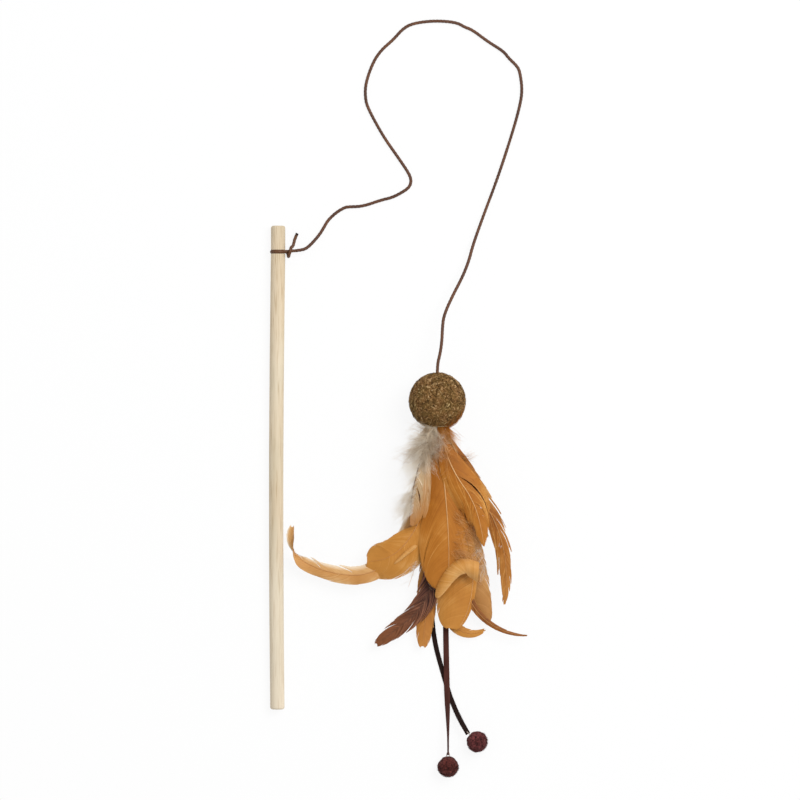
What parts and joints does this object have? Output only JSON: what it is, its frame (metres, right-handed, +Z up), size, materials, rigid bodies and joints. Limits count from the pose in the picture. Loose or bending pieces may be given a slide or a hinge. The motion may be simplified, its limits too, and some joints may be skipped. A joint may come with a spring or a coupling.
{
  "type": "cat teaser wand",
  "caption": "Wooden stick with a tied cord that carries a pressed catnip ball, a fan of feathers and suede strips with felt balls, for a cat to chase.",
  "frame": {"origin": "middle of the laid-out toy on the surface it lies on, left out the free cord", "axes": "+Y along the stick towards its tied end, +Z up from the surface, +X from the stick to the lure"},
  "size_m": [0.1807, 0.5297, 0.04],
  "materials": {
    "pine": "bare sanded pine with a faint lengthwise grain",
    "waxed_cord": "twisted waxed cotton",
    "pressed_catnip": "rough pressed shreds",
    "glue": "dull clear-set glue",
    "orange_feather": "silky barbs, dyed orange",
    "down_feather": "soft undyed down",
    "dark_feather": "silky barbs, dark brown",
    "suede": "napped suede",
    "suede_dark": "napped dark suede",
    "thread": "plain sewing thread",
    "felt": "fuzzy wool felt"
  },
  "bodies": {
    "wand": {"wand_dowel": "pine"},
    "cord_run": {"cord_tie": "waxed_cord", "cord": "waxed_cord"},
    "cord_tip": {"cord_end": "waxed_cord", "stopper_knot": "waxed_cord"},
    "lure": {"catnip_ball": "pressed_catnip", "glue_plug": "glue", "feather_down_left": "down_feather", "feather_right_upper": "orange_feather", "feather_centre": "orange_feather", "feather_left_mid": "orange_feather", "feather_right_outer": "orange_feather", "feather_pale_right": "down_feather", "feather_pale_left": "down_feather", "feather_low_centre": "orange_feather", "feather_left_long": "orange_feather", "feather_dark": "dark_feather", "feather_thin_right": "orange_feather", "feather_right_low": "orange_feather", "feather_small_low": "orange_feather", "feather_low_tip": "orange_feather"},
    "strip_a": {"suede_strip_a": "suede"},
    "strip_b": {"suede_strip_b": "suede_dark"},
    "felt_a": {"felt_ball_a": "felt", "stitch_a": "thread"},
    "felt_b": {"felt_ball_b": "felt", "stitch_b": "thread"}
  },
  "joints": [
    {"name": "tie_turn", "type": "hinge", "parent": "wand", "child": "cord_run", "pos_m": [-0.0842, 0.1746, 0.0053], "axis": [0, 1, 0], "continuous": true},
    {"name": "lure_swing", "type": "hinge", "parent": "cord_run", "child": "cord_tip", "pos_m": [0.027, 0.0944, 0.02], "axis": [1, 0, 0], "range_deg": [-90, 90]},
    {"name": "lure_spin", "type": "hinge", "parent": "cord_tip", "child": "lure", "pos_m": [0.027, 0.0704, 0.02], "axis": [0, 1, 0], "continuous": true},
    {"name": "strip_a_swing", "type": "hinge", "parent": "lure", "child": "strip_a", "pos_m": [0.02935, 0.05254, 0.0146], "axis": [0, 0, 1], "range_deg": [-10, 0]},
    {"name": "strip_b_swing", "type": "hinge", "parent": "lure", "child": "strip_b", "pos_m": [0.02465, 0.05254, 0.0128], "axis": [0, 0, 1], "range_deg": [0, 10]},
    {"name": "felt_a_swing", "type": "hinge", "parent": "strip_a", "child": "felt_a", "pos_m": [0.0346, -0.175, 0.0075], "axis": [1, 0, 0], "range_deg": [-45, 45]},
    {"name": "felt_b_swing", "type": "hinge", "parent": "strip_b", "child": "felt_b", "pos_m": [0.0476, -0.1606, 0.0075], "axis": [0, 0, 1], "range_deg": [-45, 45]}
  ]
}
